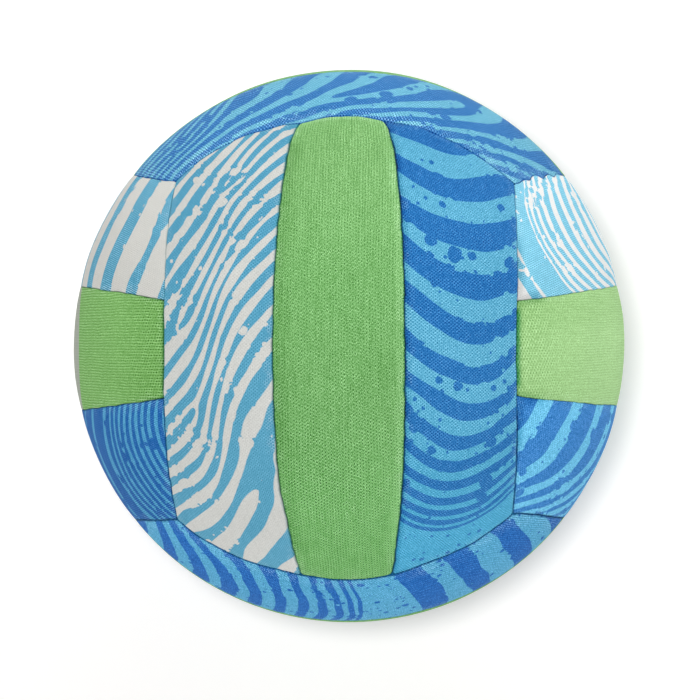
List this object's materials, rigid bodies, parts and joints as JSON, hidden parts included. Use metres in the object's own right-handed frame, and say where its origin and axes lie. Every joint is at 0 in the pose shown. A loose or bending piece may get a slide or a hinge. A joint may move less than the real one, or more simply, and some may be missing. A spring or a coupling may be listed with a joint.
{
  "type": "beach volleyball",
  "caption": "Soft sewn beach volleyball: knit-faced neoprene strips in green, blue and white stripes over a rubber bladder, with a needle valve whose plug pulls out.",
  "frame": {"origin": "the ball's centre", "axes": "+Z out of the middle of the group of strips called top, whose strips run along Y; -Y out along the valve's axis; +X across the top strips, from the white one to the blue one"},
  "size_m": [0.21, 0.2097, 0.21],
  "materials": {
    "green_knit": "matt jersey knit on neoprene foam",
    "white_print_knit": "matt jersey knit on neoprene foam, printed with light blue waves on white",
    "blue_print_knit": "matt jersey knit on neoprene foam, printed with waves of two blues",
    "thread": "polyester sewing thread",
    "bladder_rubber": "butyl rubber, satin",
    "valve_rubber": "moulded rubber, satin",
    "plug_rubber": "moulded rubber, satin"
  },
  "bodies": {
    "ball": {"panel_top_white": "white_print_knit", "panel_top_green": "green_knit", "panel_top_blue": "blue_print_knit", "panel_bottom_white": "white_print_knit", "panel_bottom_green": "green_knit", "panel_bottom_blue": "blue_print_knit", "panel_right_white": "white_print_knit", "panel_right_green": "green_knit", "panel_right_blue": "blue_print_knit", "panel_left_white": "white_print_knit", "panel_left_green": "green_knit", "panel_left_blue": "blue_print_knit", "panel_back_white": "white_print_knit", "panel_back_green": "green_knit", "panel_back_blue": "blue_print_knit", "panel_front_white": "white_print_knit", "panel_front_green": "green_knit", "panel_front_blue": "blue_print_knit", "thread_top_right": "thread", "thread_top_left": "thread", "thread_bottom_left": "thread", "thread_bottom_right": "thread", "thread_right_back": "thread", "thread_right_front": "thread", "thread_left_front": "thread", "thread_left_back": "thread", "thread_back_top": "thread", "thread_back_bottom": "thread", "thread_front_bottom": "thread", "thread_front_top": "thread", "thread_top_green_white": "thread", "thread_top_green_blue": "thread", "thread_bottom_green_white": "thread", "thread_bottom_green_blue": "thread", "thread_right_green_white": "thread", "thread_right_green_blue": "thread", "thread_left_green_white": "thread", "thread_left_green_blue": "thread", "thread_back_green_white": "thread", "thread_back_green_blue": "thread", "thread_front_green_white": "thread", "thread_front_green_blue": "thread", "bladder": "bladder_rubber", "valve_body": "valve_rubber"},
    "plug": {"valve_plug": "plug_rubber"}
  },
  "joints": [
    {"name": "valve_plug_pull", "type": "slide", "parent": "ball", "child": "plug", "axis": [0, -1, 0], "range_m": [0, 0.022]}
  ]
}
